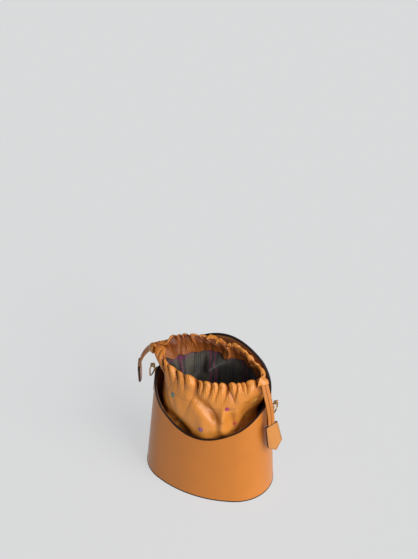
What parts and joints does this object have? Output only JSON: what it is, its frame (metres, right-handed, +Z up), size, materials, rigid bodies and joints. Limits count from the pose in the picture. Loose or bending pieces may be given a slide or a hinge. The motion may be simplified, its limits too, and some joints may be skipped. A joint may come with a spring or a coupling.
{
  "type": "bucket bag",
  "caption": "Oval stiff leather bucket bag with a slanted rim, a lift-out drawstring pouch with a gathered mouth, hanging end rings, and a leather tag on the laces at each end.",
  "frame": {"origin": "centre of the oval base, on the surface the bag stands on", "axes": "+Z up; +X along the bag's long side, to the right seen from the low side of the rim; +Y to the high side of the rim, at the back"},
  "size_m": [0.2555, 0.1384, 0.2184],
  "materials": {
    "shell_leather": "smooth cognac calfskin, semi-gloss",
    "tab_leather": "smooth cognac calfskin",
    "pouch_leather": "soft golden-tan lambskin, satin",
    "lace_leather": "soft tan leather lace",
    "tag_leather": "smooth tan leather, satin",
    "shell_lining": "dark brown suede-like lining",
    "plaid": "woven cotton plaid, charcoal with plum and olive",
    "edge_paint": "near-black brown edge paint",
    "board": "bag board",
    "brass": "polished"
  },
  "bodies": {
    "root": {"shell_outer_leather": "shell_leather", "shell_stiffener": "board", "shell_lining": "shell_lining", "rim_edge_paint": "edge_paint", "base_outer_panel": "shell_leather", "base_edge_paint": "edge_paint", "base_board": "board", "base_lining": "shell_lining", "end_tab_left": "tab_leather", "end_tab_right": "tab_leather", "ring_eye_left": "brass", "ring_eye_right": "brass"},
    "ring_left": {"end_ring_left": "brass"},
    "ring_right": {"end_ring_right": "brass"},
    "pouch": {"pouch_leather": "pouch_leather", "pouch_lining": "plaid", "pouch_base_leather": "pouch_leather", "pouch_base_lining": "plaid", "channel_front": "pouch_leather", "channel_back": "pouch_leather", "drawcord_front": "lace_leather", "drawcord_back": "lace_leather"},
    "tail_left": {"lace_left_front": "lace_leather", "lace_left_back": "lace_leather", "tag_left_outer_leaf": "tag_leather", "tag_left_inner_leaf": "tag_leather", "tag_left_edge_paint": "edge_paint"},
    "tail_right": {"lace_right_front": "lace_leather", "lace_right_back": "lace_leather", "tag_right_outer_leaf": "tag_leather", "tag_right_inner_leaf": "tag_leather", "tag_right_edge_paint": "edge_paint"}
  },
  "joints": [
    {"name": "pouch_lift", "type": "slide", "parent": "root", "child": "pouch", "axis": [0, 0, 1], "range_m": [0, 0.225]},
    {"name": "ring_left_swing", "type": "hinge", "parent": "root", "child": "ring_left", "pos_m": [-0.0985, 0, 0.1655], "axis": [0, 1, 0], "range_deg": [-10, 150]},
    {"name": "ring_right_swing", "type": "hinge", "parent": "root", "child": "ring_right", "pos_m": [0.0985, 0, 0.1655], "axis": [0, -1, 0], "range_deg": [-10, 150]},
    {"name": "tail_left_swing", "type": "hinge", "parent": "pouch", "child": "tail_left", "pos_m": [-0.1, 0, 0.199], "axis": [0.4961, 0.8682, 0], "range_deg": [0, 60]},
    {"name": "tail_right_swing", "type": "hinge", "parent": "pouch", "child": "tail_right", "pos_m": [0.08, -0.003, 0.198], "axis": [-0.6292, -0.7772, 0], "range_deg": [0, 60]}
  ]
}
